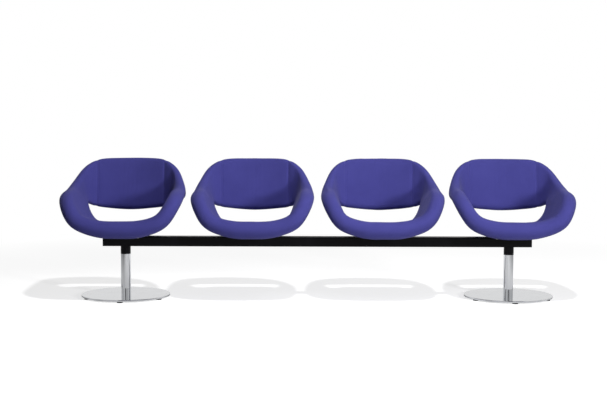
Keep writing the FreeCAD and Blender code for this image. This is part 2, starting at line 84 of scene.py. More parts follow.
scene = bpy.context.scene
camera = bpy.data.objects.new("camera", bpy.data.cameras.new("camera"))
camera.location = CAMERA_PLACE
camera.rotation_euler = (math.radians(90 - TILT_DOWN), math.radians(ROLL), 0)
camera.data.sensor_width = SENSOR_WIDTH
camera.data.lens = LENS
scene.collection.objects.link(camera)
scene.camera = camera
print("camera at", CAMERA_PLACE, "lens", LENS, "mm, looks", TILT_DOWN, "degrees down")

# %% [markdown]
# ## Helpers for shader nodes
# Every finish below is a small tree of shader nodes. Written out one by one they fill pages, so a few short
# helpers make a node with its settings and inputs in one line. A group is a finish effect that several
# materials share: it gives out masks, tones and heights, and the shader itself stays in each material.

# %% Node helpers
def add_node(tree, kind, inputs=None, **settings):
    """A new node; each input is a plain value or another node's output."""
    node = tree.nodes.new(kind)
    for name, setting in settings.items():
        setattr(node, name, setting)
    for name, source in (inputs or {}).items():
        if isinstance(source, bpy.types.NodeSocket):
            tree.links.new(source, node.inputs[name])
        else:
            node.inputs[name].default_value = source
    return node


def calc(tree, operation, *values):
    """The result of a Math node."""
    return add_node(tree, "ShaderNodeMath", dict(enumerate(values)), operation=operation).outputs[0]


def spread(tree, source, low, high, to_low=0.0, to_high=1.0):
    """A value that lies between low and high, stretched to another range and held there."""
    inputs = {0: source, 1: low, 2: high, 3: to_low, 4: to_high}
    return add_node(tree, "ShaderNodeMapRange", inputs).outputs[0]


def tint(tree, mask, color, other):
    """One colour that turns into another where the mask is 1."""
    return add_node(tree, "ShaderNodeMix", {0: mask, 6: color, 7: other}, data_type="RGBA").outputs[2]


def new_group(name, inputs, outputs):
    """An empty shader node group, with its input and output sockets."""
    group = bpy.data.node_groups.new(name, "ShaderNodeTree")
    for label, default in inputs.items():
        socket = group.interface.new_socket(label, in_out="INPUT", socket_type="NodeSocketFloat")
        socket.default_value = default
    for label in outputs:
        group.interface.new_socket(label, in_out="OUTPUT", socket_type="NodeSocketFloat")
    return group, group.nodes.new("NodeGroupInput").outputs, group.nodes.new("NodeGroupOutput").inputs


print("node helpers ready")

# %% [markdown]
# ## What the chrome mirrors
# Polished metal has no look of its own: it shows the room. In an all-white room a chrome tube would be a
# white strip, so a photographer stands dark cards round it, out of the picture. Here a tone takes their
# place: grey on the camera's side, white behind, and darker in a few upright bands. It is worked out from a
# compass angle in degrees, 0 towards the camera and positive to the right, and only reflections see it. Two
# tones are given, for the camera's side and for behind, and each band has its angle, its half width and its
# depth. The columns mirror the floor. The discs mirror the room and, at each foot, the column that mirrors
# the room again: the room's darkest band is the camera's own place.

# %% Tone of the surroundings in reflections
FLOOR_TONES = 0.2, 0.9
FLOOR_BANDS = {-100: (24, 0.7), -36: (13, 0.9), 101: (20, 0.75)}
ROOM_TONES = 0.6, 0.81
ROOM_BANDS = {-70: (14, 0.6), -2: (15, 0.95), 32: (9, 0.5), 101: (20, 0.55)}
CAMERA_SIDE_ENDS, BACK_STARTS = 60, 140
BAND_CORE = 0.3


def mirrored_tone(tree, right, away, tones, bands):
    """Brightness of the surroundings that way, from how far it points right and away from the camera."""
    angle = calc(tree, "ARCTAN2", right, calc(tree, "MULTIPLY", away, -1.0))
    behind = calc(tree, "ABSOLUTE", angle)
    tone = spread(tree, behind, math.radians(CAMERA_SIDE_ENDS), math.radians(BACK_STARTS), *tones)
    for middle, (half, depth) in bands.items():
        off = calc(tree, "ABSOLUTE", calc(tree, "SUBTRACT", angle, math.radians(middle)))
        band = spread(tree, off, BAND_CORE * math.radians(half), math.radians(half), 1 - depth, 1.0)
        tone = calc(tree, "MULTIPLY", tone, band)
    return tone


print(len(FLOOR_BANDS), "dark bands on the floor,", len(ROOM_BANDS), "in the room")

# %% [markdown]
# ## The studio floor
# The bench stands in a white studio where floor and wall run into each other with no edge. A real sweep of
# paper could be modelled, but a flat floor that turns into pure white away from the bench looks the same.
# It is a grey floor that also glows for the camera: together they come to white, and where the bench keeps
# the lamp off, the grey part darkens and the soft rings of shadow are left. The glow lights nothing. For
# reflections it follows the floor's tone and bands, seen from the nearer column.

# %% Floor
FLOOR_GREY = 0.64
FLOOR_GLOW = 0.675
FLOOR_REACH = 20
WHITE_STARTS, WHITE_FULL = 1.9, 3.6
column_low, column_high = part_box("column_right")
column_x = (column_low.x + column_high.x) / 2

floor_mesh = bpy.data.meshes.new("floor")
floor_corners = [(FLOOR_REACH * x, FLOOR_REACH * y, 0) for x, y in ((-1, -1), (1, -1), (1, 1), (-1, 1))]
floor_mesh.from_pydata(floor_corners, [], [(0, 1, 2, 3)])
floor = bpy.data.objects.new("floor", floor_mesh)
scene.collection.objects.link(floor)
floor_paint = bpy.data.materials.new("studio_floor")
floor_paint.use_nodes = True
floor_mesh.materials.append(floor_paint)
tree = floor_paint.node_tree
tree.nodes.clear()
path = add_node(tree, "ShaderNodeLightPath").outputs
place = add_node(tree, "ShaderNodeTexCoord").outputs["Object"]
axes = add_node(tree, "ShaderNodeSeparateXYZ", {0: place}).outputs
nearer = calc(tree, "MULTIPLY", calc(tree, "SIGN", axes["X"]), column_x)
from_column = calc(tree, "SUBTRACT", axes["X"], nearer)
tone = mirrored_tone(tree, from_column, axes["Y"], FLOOR_TONES, FLOOR_BANDS)
plain = calc(tree, "MAXIMUM", path["Is Camera Ray"], path["Is Transmission Ray"])
seen = calc(tree, "MAXIMUM", plain, calc(tree, "MULTIPLY", path["Is Glossy Ray"], tone))
distance = add_node(tree, "ShaderNodeVectorMath", {0: place}, operation="LENGTH").outputs["Value"]
far = spread(tree, distance, WHITE_STARTS, WHITE_FULL)
glow = calc(tree, "MULTIPLY", seen, spread(tree, far, 0, 1, FLOOR_GLOW, 1.0))
emission = add_node(tree, "ShaderNodeEmission", {"Strength": glow}).outputs[0]
grey = add_node(tree, "ShaderNodeBsdfDiffuse", {"Color": (FLOOR_GREY,) * 3 + (1,)}).outputs[0]
near = add_node(tree, "ShaderNodeAddShader", {0: grey, 1: emission}).outputs[0]
surface = add_node(tree, "ShaderNodeMixShader", {0: far, 1: near, 2: emission}).outputs[0]
add_node(tree, "ShaderNodeOutputMaterial", {"Surface": surface})
print("floor grey", FLOOR_GREY, "glow", FLOOR_GLOW)

# %% [markdown]
# ## The lamps
# Three lamps light the bench. A small round one hangs high in front, right of the middle: the shadow rings
# on the floor point away from it. A large soft one stands low, far to the front right: it lights the backs,
# and the right arms keep it off the lower right of each back. A weak one over the front of the middle
# chairs makes them brighter than the outer ones. Each has a place, a power in watts and a width. Sun lamps
# would light all four chairs alike; lamps a few metres away light the nearer chairs more, as they do in a
# studio.

# %% Lamps
LAMPS = {
    "overhead_lamp": ((0.71, -2.2, 4.9), 150, 0.3),
    "soft_lamp": ((3.6, -4.5, 1.5), 200, 0.9),
    "middle_lamp": ((0.3, -1.1, 1.6), 5.5, 0.8),
}


def add_lamp(name, place, watts, size):
    """A round lamp that points at the middle of the bench and is not itself seen."""
    lamp = bpy.data.objects.new(name, bpy.data.lights.new(name, "AREA"))
    lamp.data.shape = "DISK"
    lamp.data.size = size
    lamp.data.energy = watts
    lamp.location = place
    aim = lamp.location - cad_box[0].lerp(cad_box[1], 0.5)
    lamp.rotation_euler = aim.to_track_quat("Z", "Y").to_euler()
    lamp.visible_camera = lamp.visible_glossy = False
    scene.collection.objects.link(lamp)


for name, settings in LAMPS.items():
    add_lamp(name, *settings)
print("lamps and their watts", {name: watts for name, (place, watts, size) in LAMPS.items()})

# %% [markdown]
# ## The room
# A little light comes from all around and more from the white wall behind, which keeps the outer faces of
# the backs from going black. A modelled room would give this too, but slowly and with walls in the way of
# the camera. So the world does it: it lights the bench softly, the camera sees plain white there, and
# reflections see the room's tone and bands.

# %% World
FILL, WALL_LIGHT = 0.02, 0.45
WALL_FROM, WALL_FULL = 0.1, 0.8

scene.world = bpy.data.worlds.new("studio")
scene.world.use_nodes = True
tree = scene.world.node_tree
tree.nodes.clear()
path = add_node(tree, "ShaderNodeLightPath").outputs
direction = add_node(tree, "ShaderNodeTexCoord").outputs["Generated"]
way = add_node(tree, "ShaderNodeSeparateXYZ", {0: direction}).outputs
strengths = {
    "fill": spread(tree, way["Y"], WALL_FROM, WALL_FULL, FILL, WALL_LIGHT),
    "mirrored": mirrored_tone(tree, way["X"], way["Y"], ROOM_TONES, ROOM_BANDS),
    "white": 1.0,
}
glows = {}
for name, strength in strengths.items():
    inputs = {"Color": (1, 1, 1, 1), "Strength": strength}
    glows[name] = add_node(tree, "ShaderNodeBackground", inputs).outputs[0]
around = add_node(tree, "ShaderNodeMixShader",
                  {0: path["Is Glossy Ray"], 1: glows["fill"], 2: glows["mirrored"]}).outputs[0]
plain = calc(tree, "MAXIMUM", path["Is Camera Ray"], path["Is Transmission Ray"])
surface = add_node(tree, "ShaderNodeMixShader", {0: plain, 1: around, 2: glows["white"]}).outputs[0]
add_node(tree, "ShaderNodeOutputWorld", {"Surface": surface})
scene.view_settings.view_transform = "Standard"
print("light from all around", FILL, "and from the wall", WALL_LIGHT)

# %% [markdown]
# ## Uneven tone and dust
# No real surface has one even tone. Uneven tone is slow noise over the whole piece. Dust settles on faces
# that look up, in patches. Painted pictures could show both; noise in the object's own space needs no
# unwrapping and stays put from every side.

# %% Uneven tone and dust
def own_place(tree):
    """The place of a point in its object's own space."""
    return add_node(tree, "ShaderNodeTexCoord").outputs["Object"]


def noise(tree, place, scale, detail=2.0, roughness=0.5):
    """Noise around 0.5."""
    inputs = {"Vector": place, "Scale": scale, "Detail": detail, "Roughness": roughness}
    return add_node(tree, "ShaderNodeTexNoise", inputs).outputs["Fac"]


uneven_tone, given, result = new_group("uneven_tone", {"Scale": 5.0}, ["Tone"])
cloud = noise(uneven_tone, own_place(uneven_tone), given["Scale"], 4.0, 0.6)
uneven_tone.links.new(spread(uneven_tone, cloud, 0.3, 0.7), result["Tone"])

settled_dust, given, result = new_group("settled_dust", {"Amount": 0.3}, ["Mask"])
normal = add_node(settled_dust, "ShaderNodeNewGeometry").outputs["Normal"]
facing = add_node(settled_dust, "ShaderNodeSeparateXYZ", {0: normal}).outputs["Z"]
cloud = noise(settled_dust, own_place(settled_dust), 14.0, 6.0, 0.65)
patches = spread(settled_dust, cloud, 0.35, 0.7)
dust = calc(settled_dust, "MULTIPLY", spread(settled_dust, facing, 0.6, 1.0), patches)
settled_dust.links.new(calc(settled_dust, "MULTIPLY", dust, given["Amount"]), result["Mask"])
print(uneven_tone.name, len(uneven_tone.nodes), "nodes,", settled_dust.name, len(settled_dust.nodes), "nodes")

# %% [markdown]
# ## Rubbed edges and fine scratches
# Edges are touched most, so the coat wears there first. They could be marked by hand; Blender's Bevel node
# finds them: it says where the surface turns sharply, and noise breaks that line up. Fine scratches are
# noise pulled out long in one direction, laid over each other in two directions.

# %% Rubbed edges and scratches
SCRATCH_ANGLES = 0.4, 1.9
SCRATCH_STRETCH = 22

rubbed_edges, given, result = new_group("rubbed_edges", {"Width": 0.002, "Amount": 0.5}, ["Mask"])
rounded = add_node(rubbed_edges, "ShaderNodeBevel", {"Radius": given["Width"]}, samples=4).outputs[0]
normal = add_node(rubbed_edges, "ShaderNodeNewGeometry").outputs["Normal"]
agree = add_node(rubbed_edges, "ShaderNodeVectorMath", {0: rounded, 1: normal}, operation="DOT_PRODUCT")
edge = spread(rubbed_edges, agree.outputs["Value"], 0.98, 0.8)
breaks = spread(rubbed_edges, noise(rubbed_edges, own_place(rubbed_edges), 90.0, 4.0), 0.45, 0.6)
worn = calc(rubbed_edges, "MULTIPLY", edge, breaks)
rubbed_edges.links.new(calc(rubbed_edges, "MULTIPLY", worn, given["Amount"]), result["Mask"])

fine_scratches, given, result = new_group("fine_scratches", {"Scale": 60.0}, ["Mask"])
lines = []
for angle in SCRATCH_ANGLES:
    pulled = add_node(fine_scratches, "ShaderNodeMapping",
                      {"Vector": own_place(fine_scratches), "Scale": (1, SCRATCH_STRETCH, SCRATCH_STRETCH),
                       "Rotation": (angle, angle / 2, angle)}).outputs[0]
    lines.append(spread(fine_scratches, noise(fine_scratches, pulled, given["Scale"], 2.0), 0.66, 0.72))
fine_scratches.links.new(calc(fine_scratches, "MAXIMUM", *lines), result["Mask"])
print([group.name for group in bpy.data.node_groups])

# %% [markdown]
# ## Chrome
# The columns and discs are polished and chrome plated. A mirror with roughness 0 looks like a computer
# picture; real plating has faint scratches from wiping, a slightly cloudy film where hands and cloths have
# been, and a surface that is not quite flat, so reflections waver a little.

# %% Chrome
def new_finish(name, **constants):
    """A material, its node tree and its shader; values that are the same all over are set on the shader."""
    material = bpy.data.materials.new(name)
    material.use_nodes = True
    shader = material.node_tree.nodes["Principled BSDF"]
    for socket, number in constants.items():
        shader.inputs[socket.replace("_", " ")].default_value = number
    return material, material.node_tree, shader


def place_group(tree, group, inputs=None):
    """The first output of a shared effect."""
    return add_node(tree, "ShaderNodeGroup", inputs, node_tree=group).outputs[0]


def link_normal(tree, shader, height, distance, strength=1.0):
    """A Bump node from a height that runs from 0 to 1 over that many metres."""
    bump = add_node(tree, "ShaderNodeBump", {"Height": height, "Distance": distance, "Strength": strength})
    tree.links.new(bump.outputs[0], shader.inputs["Normal"])


chrome, tree, shader = new_finish("polished_chrome", Metallic=1.0)
film = place_group(tree, uneven_tone, {"Scale": 11.0})
scratches = place_group(tree, fine_scratches, {"Scale": 45.0})
dust = place_group(tree, settled_dust, {"Amount": 0.1})
plating = tint(tree, film, (0.70, 0.715, 0.74, 1), (0.75, 0.76, 0.78, 1))
tree.links.new(tint(tree, dust, plating, (0.55, 0.54, 0.52, 1)), shader.inputs["Base Color"])
rough = calc(tree, "ADD", spread(tree, film, 0, 1, 0.035, 0.075), calc(tree, "MULTIPLY", scratches, 0.06))
tree.links.new(calc(tree, "ADD", rough, dust), shader.inputs["Roughness"])
link_normal(tree, shader, noise(tree, own_place(tree), 16.0, 1.0), 0.0006, 0.35)
print(chrome.name, len(tree.nodes), "nodes")

# %% [markdown]
# ## Black powder coat
# The beam, the collars and the brackets are steel with a baked black powder coat. Powder melts into a skin
# with a fine orange-peel surface, satin and not glossy. Corners rub a little grey, and dust lies on the
# beam's top.

# %% Powder coat
powder_coat, tree, shader = new_finish("black_powder_coat", Specular_IOR_Level=0.14)
tone = place_group(tree, uneven_tone, {"Scale": 7.0})
dust = place_group(tree, settled_dust, {"Amount": 0.12})
rub = place_group(tree, rubbed_edges, {"Width": 0.0022, "Amount": 0.35})
coat = tint(tree, tone, (0.0022, 0.0022, 0.0030, 1), (0.0042, 0.0041, 0.0052, 1))
coat = tint(tree, dust, coat, (0.10, 0.098, 0.095, 1))
tree.links.new(tint(tree, rub, coat, (0.055, 0.055, 0.058, 1)), shader.inputs["Base Color"])
rough = spread(tree, tone, 0, 1, 0.36, 0.46)
tree.links.new(calc(tree, "ADD", rough, dust), shader.inputs["Roughness"])
peel = noise(tree, own_place(tree), 700.0, 1.5)
link_normal(tree, shader, peel, 0.00025, 0.5)
print(powder_coat.name, len(tree.nodes), "nodes")

# %% [markdown]
# ## Black moulded plastic
# The beam's end caps and the glides are moulded plastic. The mould's spark-eroded wall leaves a fine even
# grain, and handling polishes the raised spots a little, so the gloss changes with the grain.

# %% Moulded plastic
moulded, tree, shader = new_finish("black_moulded_plastic", Specular_IOR_Level=0.1)
tone = place_group(tree, uneven_tone, {"Scale": 20.0})
dust = place_group(tree, settled_dust, {"Amount": 0.1})
rub = place_group(tree, rubbed_edges, {"Width": 0.0015, "Amount": 0.15})
skin = tint(tree, tone, (0.0035, 0.0035, 0.0038, 1), (0.0065, 0.0064, 0.0068, 1))
skin = tint(tree, dust, skin, (0.05, 0.049, 0.047, 1))
tree.links.new(tint(tree, rub, skin, (0.04, 0.04, 0.041, 1)), shader.inputs["Base Color"])
grain = noise(tree, own_place(tree), 1500.0, 2.0)
polish = spread(tree, grain, 0.3, 0.7, 0.05, -0.05)
tree.links.new(calc(tree, "ADD", spread(tree, tone, 0, 1, 0.46, 0.58), polish), shader.inputs["Roughness"])
link_normal(tree, shader, grain, 0.00012, 0.6)
print(moulded.name, len(tree.nodes), "nodes")

# %% [markdown]
# ## Zinc plated steel
# Bolts, screws, tie rods and the chairs' inner frames are out of sight on the finished bench, but they are
# there. They are plain zinc plated steel: grey, slightly patchy from the bath, with a dull gloss and wrench
# marks.

# %% Zinc plate
zinc, tree, shader = new_finish("zinc_plate", Metallic=1.0)
tone = place_group(tree, uneven_tone, {"Scale": 60.0})
scratches = place_group(tree, fine_scratches, {"Scale": 90.0})
plate = tint(tree, tone, (0.36, 0.37, 0.38, 1), (0.47, 0.47, 0.46, 1))
tree.links.new(tint(tree, scratches, plate, (0.56, 0.56, 0.55, 1)), shader.inputs["Base Color"])
marks = calc(tree, "MULTIPLY", scratches, -0.08)
tree.links.new(calc(tree, "ADD", spread(tree, tone, 0, 1, 0.28, 0.42), marks), shader.inputs["Roughness"])
link_normal(tree, shader, noise(tree, own_place(tree), 900.0, 2.0), 0.0001, 0.5)
print(zinc.name, len(tree.nodes), "nodes")

# %% [markdown]
# ## Finishes on the CAD pieces
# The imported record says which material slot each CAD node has, so the finishes go on by slot and no piece
# can be missed. The foam has the fabric's slot and gets none: the covers made further down stand for it.

# %% Put the finishes on
finish_of_slot = {"chrome": chrome, "black_steel": powder_coat, "black_plastic": moulded, "plain_steel": zinc}
finished = 0
for subpart in frame["record"]["subparts"]:
    finish = finish_of_slot.get(subpart["material_slot"])
    if finish:
        node = frame["nodes"][subpart["node"]]
        node.data.materials.clear()
        node.data.materials.append(finish)
        finished += 1
print(finished, "CAD nodes have their finish")

# %% [markdown]
# ## The weave
# The covers are plain woven: two sets of threads that pass over and under each other. A picture of cloth
# would repeat and blur from near by, so the threads are worked out from the cover's unwrapped coordinates,
# which are true metres. The yarn is spun from lighter and darker fibres, which gives the cloth its grain.

# %% Plain weave
THREAD_PITCH = 0.0013
UNWRAPPED = "cloth"

plain_weave, given, result = new_group("plain_weave", {"Pitch": THREAD_PITCH}, ["Height", "Yarn"])
unwrapped = add_node(plain_weave, "ShaderNodeUVMap", uv_map=UNWRAPPED).outputs["UV"]
axes = add_node(plain_weave, "ShaderNodeSeparateXYZ", {0: unwrapped}).outputs
waves = []
for axis in ("X", "Y"):
    turns = calc(plain_weave, "DIVIDE", axes[axis], given["Pitch"])
    waves.append(calc(plain_weave, "SINE", calc(plain_weave, "MULTIPLY", turns, math.pi)))
over = spread(plain_weave, calc(plain_weave, "MULTIPLY", *waves), -0.3, 0.3)
warp, weft = [calc(plain_weave, "ABSOLUTE", wave) for wave in waves]
top = calc(plain_weave, "ADD", calc(plain_weave, "MULTIPLY", warp, over),
           calc(plain_weave, "MULTIPLY", weft, calc(plain_weave, "SUBTRACT", 1.0, over)))
fibres = noise(plain_weave, unwrapped, 1500.0, 3.0, 0.7)
plain_weave.links.new(calc(plain_weave, "MULTIPLY_ADD", fibres, 0.7, top), result["Height"])
drawn_out = add_node(plain_weave, "ShaderNodeMapping", {"Vector": unwrapped, "Scale": (1, 3, 1)}).outputs[0]
yarn = spread(plain_weave, noise(plain_weave, drawn_out, 260.0, 3.0, 0.7), 0.3, 0.7)
plain_weave.links.new(yarn, result["Yarn"])
print(plain_weave.name, len(plain_weave.nodes), "nodes, threads every", THREAD_PITCH * 1000, "mm")

# %% [markdown]
# ## Wool cloth
# The cloth is wool in blue violet, brushed so that the weave is soft and short hairs catch the light at the
# edges. Hairs as real strands would be far too many; the shader's sheen stands for them.

# %% Wool cloth
wool, tree, shader = new_finish("violet_wool", Specular_IOR_Level=0.12, Sheen_Weight=0.1, Sheen_Roughness=0.5)
shader.inputs["Sheen Tint"].default_value = (0.75, 0.74, 0.95, 1)
weave = add_node(tree, "ShaderNodeGroup", node_tree=plain_weave).outputs
patches = place_group(tree, uneven_tone, {"Scale": 7.0})
mix = calc(tree, "MULTIPLY_ADD", weave["Yarn"], 0.6, calc(tree, "MULTIPLY", patches, 0.4))
violet = tint(tree, mix, (0.049, 0.048, 0.215, 1), (0.068, 0.066, 0.285, 1))
tree.links.new(violet, shader.inputs["Base Color"])
tree.links.new(spread(tree, weave["Height"], 0.2, 1.4, 0.98, 0.84), shader.inputs["Roughness"])
link_normal(tree, shader, weave["Height"], 0.0003, 0.6)
print(wool.name, len(tree.nodes), "nodes")

# %% [markdown]
# ## The shape of a chair
# A chair is one padded ring: the seat's front roll bends up into the arms, the arms rise into the back, and
# the ring closes round the open gap between seat and back. It could be modelled as a subdivided cage, but
# the CAD model already describes it by sections across the ring, and the same sections are used here, so
# that the cover lies where the foam is. Each row is one section of the right half: the middle of the outer
# roll, the middle of the roll at the gap, the way the inner face looks, both rolls' radii, and how far the
# inner and outer faces curve out. Millimetres, from the middle of the chair; the left half is its mirror
# image.

# %% Sections of the ring
import numpy as np

HALF_RING = np.array([
    (0, -264, 395, 0, 153, 373, 0, 0, 1, 46, 24, -18, 8),
    (75, -263, 396, 75, 152, 374, -0.05, 0, 1, 46, 24, -17, 8),
    (152, -260, 410, 143, 146, 381, -0.31, 0, 0.95, 43.5, 24, -12, 4),
    (228, -251, 444, 187, 117, 397, -0.63, 0, 0.78, 42.5, 22, -4, 1),
    (265, -229, 493, 210, 100, 424, -0.82, 0, 0.57, 40, 22, 2, 1),
    (288, -179, 540, 226, 88, 455, -0.9, -0.1, 0.42, 40, 23, 3, 1),
    (297, -78, 570, 238, 92, 488, -0.89, -0.15, 0.42, 40, 23, 2, 1),
    (295, 44, 579, 246, 112, 514, -0.86, -0.22, 0.46, 36, 22, 1, 3),
    (282, 134, 624, 249, 145, 523, -0.88, -0.38, 0.28, 27, 21, 1, 4),
    (254, 201, 686, 231, 184, 517, -0.73, -0.66, 0.17, 21, 21, 2, 5),
    (197, 248, 727, 197, 206, 504, -0.38, -0.91, 0.17, 19, 22, 3, 6),
    (98.5, 281, 739, 98.5, 224, 491, -0.17, -0.96, 0.22, 18, 23, 4, 7),
    (0, 293, 739, 0, 230, 486, 0, -1, 0.24, 18, 24, 4, 8),
])
SEAM_SECTION = 10
mirror = np.ones(HALF_RING.shape[1])
mirror[[0, 3, 6]] = -1
sections = np.vstack([HALF_RING, HALF_RING[-2:0:-1] * mirror])
sections[:, 6:9] /= np.linalg.norm(sections[:, 6:9], axis=1, keepdims=True)
print(len(sections), "sections round the ring")

# %% [markdown]
# ## Between the sections
# Foam has no corners along the ring, and straight runs between the sections would show as facets. A closed
# cubic spline through every column of the table gives a section anywhere on the ring, with no start or end.

# %% Closed spline
def closed_spline(knots, values, at):
    """Rows along the closed cubic spline through one row per knot; the last knot is the full round."""
    step = np.diff(knots)
    count = len(step)
    here = np.arange(count)
    after, before = np.roll(here, -1), np.roll(here, 1)
    slope = (values[after] - values) / step[:, None]
    system = np.zeros((count, count))
    system[here, before] = step[before]
    system[here, here] = 2 * (step[before] + step)
    system[here, after] = step
    bend = np.linalg.solve(system, 6 * (slope - slope[before]))
    k = np.clip(np.searchsorted(knots, at, side="right") - 1, 0, count - 1)
    t, h = (at - knots[k])[:, None], step[k][:, None]
    first, last = bend[k], bend[after[k]]
    rise = slope[k] - h * (2 * first + last) / 6
    return values[k] + t * rise + t**2 * first / 2 + t**3 * (last - first) / (6 * h)


rim_line = np.vstack([sections, sections[:1]])[:, 0:3]
knots = np.concatenate([[0], np.cumsum(np.linalg.norm(np.diff(rim_line, axis=0), axis=1))])
print("ring", round(knots[-1]), "mm along the rim")

# %% [markdown]
# ## From sections to a closed surface
# Each section is the outline of the padding where it is cut across: the inner face, half a circle round the
# outer roll, the outer face, half a circle round the gap's roll. Evenly spaced points would do for the
# foam, but a seam is only a few millimetres wide, so they lie closer together near the closing seam on the
# outer face.

# %% Section drawing
FACE_POINTS, ROLL_POINTS, EDGE_POINTS = 38, 16, 9
CLOSING_SEAM = 40
NEAR_CLOSING = (-28, -16, -8, -4, -1.8, 0, 1.8, 4, 8, 18)
DENSE_SECTIONS = 2401


def draw_sections(rows):
    """Points of each section in metres: one row per section, going round from the gap over the inner face."""
    rim, gap, facing = rows[:, 0:3], rows[:, 3:6], rows[:, 6:9]
    roll, edge, crown, belly = (rows[:, k, None] for k in range(9, 13))
    along = rim - gap
    length = np.linalg.norm(along, axis=1, keepdims=True)
    along = along / length
    out = facing - (facing * along).sum(1, keepdims=True) * along
    out /= np.linalg.norm(out, axis=1, keepdims=True)
    share = np.linspace(0, 1, FACE_POINTS, endpoint=False)[None]
    inner = length * share, edge + (roll - edge) * share + 4 * crown * share * (1 - share)
    angle = np.linspace(math.pi / 2, -math.pi / 2, ROLL_POINTS, endpoint=False)[None]
    front = length + roll * np.cos(angle), roll * np.sin(angle)
    fixed = np.concatenate([[0], CLOSING_SEAM + np.array(NEAR_CLOSING)])[None] + 0 * length
    last = CLOSING_SEAM + NEAR_CLOSING[-1]
    steps = np.linspace(0, 1, FACE_POINTS - fixed.shape[1] + 1, endpoint=False)[None, 1:]
    share = 1 - np.hstack([fixed, last + (length - last) * steps]) / length
    outer = length * share, -(edge + (roll - edge) * share) - 4 * belly * share * (1 - share)
    angle = np.linspace(-math.pi / 2, -1.5 * math.pi, EDGE_POINTS, endpoint=False)[None]
    tip = edge * np.cos(angle), edge * np.sin(angle)
    x, y = (np.hstack([part[axis] for part in (inner, front, outer, tip)]) for axis in (0, 1))
    return (gap[:, None] + x[:, :, None] * along[:, None] + y[:, :, None] * out[:, None]) / 1000


seam_right, seam_left = knots[SEAM_SECTION], knots[len(sections) - SEAM_SECTION]
dense_at = np.linspace(seam_right, seam_right + knots[-1], DENSE_SECTIONS)
dense = draw_sections(closed_spline(knots, sections, dense_at % knots[-1]))
closing_index = FACE_POINTS + ROLL_POINTS + 1 + NEAR_CLOSING.index(0)
print(dense.shape[0], "fine sections of", dense.shape[1], "points")

# %% [markdown]
# ## Loops of the cover
# Two seams cross the back, one on each side. The loops of the mesh follow the sections, about a centimetre
# apart. Next to a seam they could do so too, but then the stitches would wander. There they follow the seam
# at fixed distances in true length, so that the groove and the two rows of stitches stay parallel to it
# from the rim down to the gap.

# %% Loops
LOOP_STEP = 12
SEAM_REACH = 30
SEAM_LOOPS = np.array([0, 1.8, 3.6, 5.5, 7.5, 11]) / 1000
STITCH_LOOP = 3
STITCH_OFFSET = SEAM_LOOPS[STITCH_LOOP]

travelled = np.concatenate([np.zeros((1, dense.shape[1])),
                            np.cumsum(np.linalg.norm(np.diff(dense, axis=0), axis=2), axis=0)])


def length_at(position):
    """How far each lengthwise line has come at a place on the ring, in metres from the right seam."""
    place = (position - dense_at[0]) / (dense_at[1] - dense_at[0])
    low = min(int(place), len(dense_at) - 2)
    return travelled[low] + (place - low) * (travelled[low + 1] - travelled[low])


def panel_loops(start, end):
    """Lengths of one panel's loops, from its first seam up to the loop before the next seam."""
    first, last = length_at(start), length_at(end)
    opening = [first + gap for gap in SEAM_LOOPS]
    closing = [last - gap for gap in SEAM_LOOPS[:0:-1]]
    count = round((end - start - 2 * SEAM_REACH) / LOOP_STEP)
    middle = [length_at(place) for place in np.linspace(start + SEAM_REACH, end - SEAM_REACH, count)]
    return opening + [(opening[-1] + middle[0]) / 2] + middle + [(middle[-1] + closing[0]) / 2] + closing


back_loops = panel_loops(seam_right, seam_left)
front_loops = panel_loops(seam_left, dense_at[-1])
lengths = np.array(back_loops + front_loops)
cover = np.stack([np.stack([np.interp(lengths[:, j], travelled[:, j], dense[:, j, axis])
                            for axis in range(3)], 1) for j in range(dense.shape[1])], 1)
print(cover.shape[0], "loops of", cover.shape[1], "points;", len(back_loops), "of them in the back panel")

# %% [markdown]
# ## The cover's mesh
# The grid of points becomes one closed mesh. An automatic unwrap would stretch the cloth; here the
# unwrapped coordinates are lengths in metres along the panel and round the section, counted from the middle
# of each panel, so the weave keeps its size everywhere and the threads break at the seams, where the real
# cloth is cut.

# %% Mesh from the grid
def grid_normals(points):
    """Outward direction at every point of a closed grid."""
    onward = np.roll(points, -1, 0) - np.roll(points, 1, 0)
    around = np.roll(points, -1, 1) - np.roll(points, 1, 1)
    normals = np.cross(around, onward)
    return normals / np.linalg.norm(normals, axis=2, keepdims=True)


def unwrap(points, loop, place):
    """Metres along the panel and round the section for every face corner, given by its loop and place."""
    loops, count = points.shape[:2]
    full = np.vstack([lengths, travelled[-1:]])
    in_back = loop[:, :1] < len(back_loops)
    centre = np.where(in_back, len(back_loops) // 2, len(back_loops) + len(front_loops) // 2)
    sideways = full[loop, place % count] - full[centre, place % count]
    steps = np.linalg.norm(np.roll(points, -1, 1) - points, axis=2)
    ordered = np.cumsum(np.roll(steps, -closing_index, 1), axis=1)
    ordered = np.hstack([np.zeros((loops, 1)), ordered])
    turned = (place[:, :1] - closing_index) % count + (place - place[:, :1])
    face_middle = (FACE_POINTS // 2 - closing_index) % count
    upward = ordered[loop % loops, turned] - ordered[loop % loops, face_middle]
    return np.stack([sideways, upward], 2).astype(np.float32)


def new_piece(name, points, faces, finish):
    """A smooth mesh object with one finish."""
    mesh = bpy.data.meshes.new(name)
    mesh.from_pydata(points.reshape(-1, 3), [], faces)
    mesh.shade_smooth()
    mesh.materials.append(finish)
    piece = bpy.data.objects.new(name, mesh)
    scene.collection.objects.link(piece)
    return piece


def grid_object(name, points):
    """A wool cover from a closed grid, unwrapped in metres."""
    loops, count = points.shape[:2]
    i, j = (index.ravel() for index in np.meshgrid(np.arange(loops), np.arange(count), indexing="ij"))
    loop, place = np.stack([i, i, i + 1, i + 1], 1), np.stack([j, j + 1, j + 1, j], 1)
    piece = new_piece(name, points, ((loop % loops) * count + place % count).tolist(), wool)
    layer = piece.data.uv_layers.new(name=UNWRAPPED)
    layer.data.foreach_set("uv", unwrap(points, loop, place).ravel())
    return piece


